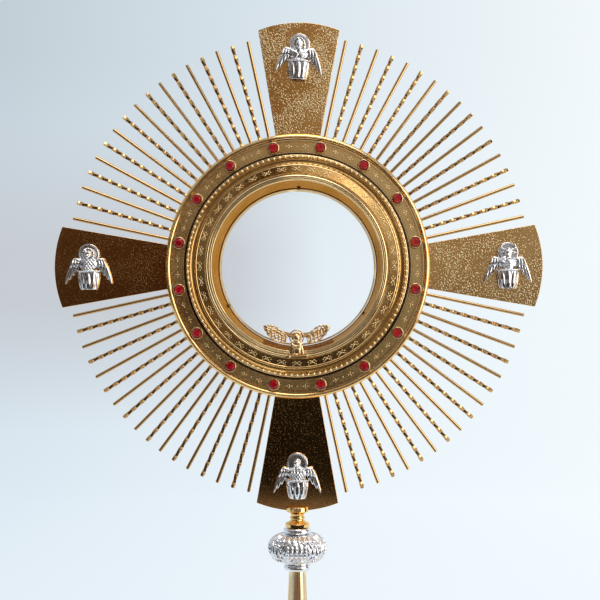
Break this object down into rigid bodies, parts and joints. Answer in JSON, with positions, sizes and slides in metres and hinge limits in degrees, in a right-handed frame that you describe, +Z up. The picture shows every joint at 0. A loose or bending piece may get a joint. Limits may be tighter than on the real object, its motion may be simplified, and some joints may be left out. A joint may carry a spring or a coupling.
{
  "type": "monstrance",
  "caption": "Sunburst monstrance: glazed host case with a rear door, jewelled ring, plate arms with cast figures and fanned rods, on a knobbed trumpet stem and a round foot.",
  "frame": {"origin": "middle of the foot's underside, on the table", "axes": "+Z up the stem, -Y out of the front of the window, +X to the right as seen from the front"},
  "size_m": [0.32, 0.18, 0.62],
  "materials": {
    "gold": "polished gold plate on brass",
    "rose_gold": "polished rose-gold plate on brass",
    "hammered_gold": "brushed and stippled gold plate on brass, bright at the edges",
    "silver": "silver plate on cast brass, darkened in the recesses",
    "steel": "plain machined steel",
    "clear_glass": "clear flat glass",
    "red_stone": "round faceted red glass stone",
    "felt": "green wool felt"
  },
  "bodies": {
    "monstrance": {"angel_ornament": "rose_gold", "arm_bottom": "hammered_gold", "arm_left": "hammered_gold", "arm_right": "hammered_gold", "arm_top": "hammered_gold", "backing_ring": "gold", "bead_ring": "gold", "case_drum": "gold", "ferrule": "gold", "figure_eagle": "silver", "figure_lion": "silver", "figure_man": "silver", "figure_ox": "silver", "foot_dome": "gold", "foot_pad": "felt", "foot_rim": "gold", "front_glass": "clear_glass", "gem_01": "red_stone", "gem_02": "red_stone", "gem_03": "red_stone", "gem_04": "red_stone", "gem_05": "red_stone", "gem_06": "red_stone", "gem_07": "red_stone", "gem_08": "red_stone", "gem_09": "red_stone", "gem_10": "red_stone", "gem_11": "red_stone", "gem_12": "red_stone", "gem_13": "red_stone", "gem_14": "red_stone", "gem_15": "red_stone", "gem_16": "red_stone", "gem_band": "gold", "glass_clamp_ring": "gold", "glass_ring": "gold", "hinge_pin": "steel", "knob": "silver", "lower_collar": "silver", "lunula_rail": "gold", "ray_fan_lower_left": "gold", "ray_fan_lower_right": "gold", "ray_fan_upper_left": "gold", "ray_fan_upper_right": "gold", "rim_ring": "gold", "stem": "gold", "support_post": "gold", "tie_nut": "steel", "tie_rod": "steel", "upper_collar": "silver", "window_bezel": "gold", "window_reveal": "rose_gold"},
    "door": {"door_frame": "gold", "rear_glass": "clear_glass", "door_glass_ring": "steel"},
    "latch": {"door_latch": "gold"},
    "lunula": {"lunula_front_jaw": "rose_gold", "jaw_pin": "steel"},
    "rear_jaw": {"lunula_rear_jaw": "rose_gold"}
  },
  "joints": [
    {"name": "door_hinge", "type": "hinge", "parent": "monstrance", "child": "door", "pos_m": [0.072, 0.0341, 0.46], "axis": [0, 0, -1], "range_deg": [0, 110]},
    {"name": "door_latch_turn", "type": "hinge", "parent": "door", "child": "latch", "pos_m": [-0.0735, 0.0344, 0.46], "axis": [0, 1, 0], "range_deg": [0, 90]},
    {"name": "lunula_slide", "type": "slide", "parent": "monstrance", "child": "lunula", "axis": [0, 1, 0], "range_m": [0, 0.005]},
    {"name": "lunula_jaw_tip", "type": "hinge", "parent": "lunula", "child": "rear_jaw", "pos_m": [0, 0.0216, 0.4082], "axis": [-1, 0, 0], "range_deg": [0, 15], "stiffness_Nm_per_rad": 0.01}
  ]
}
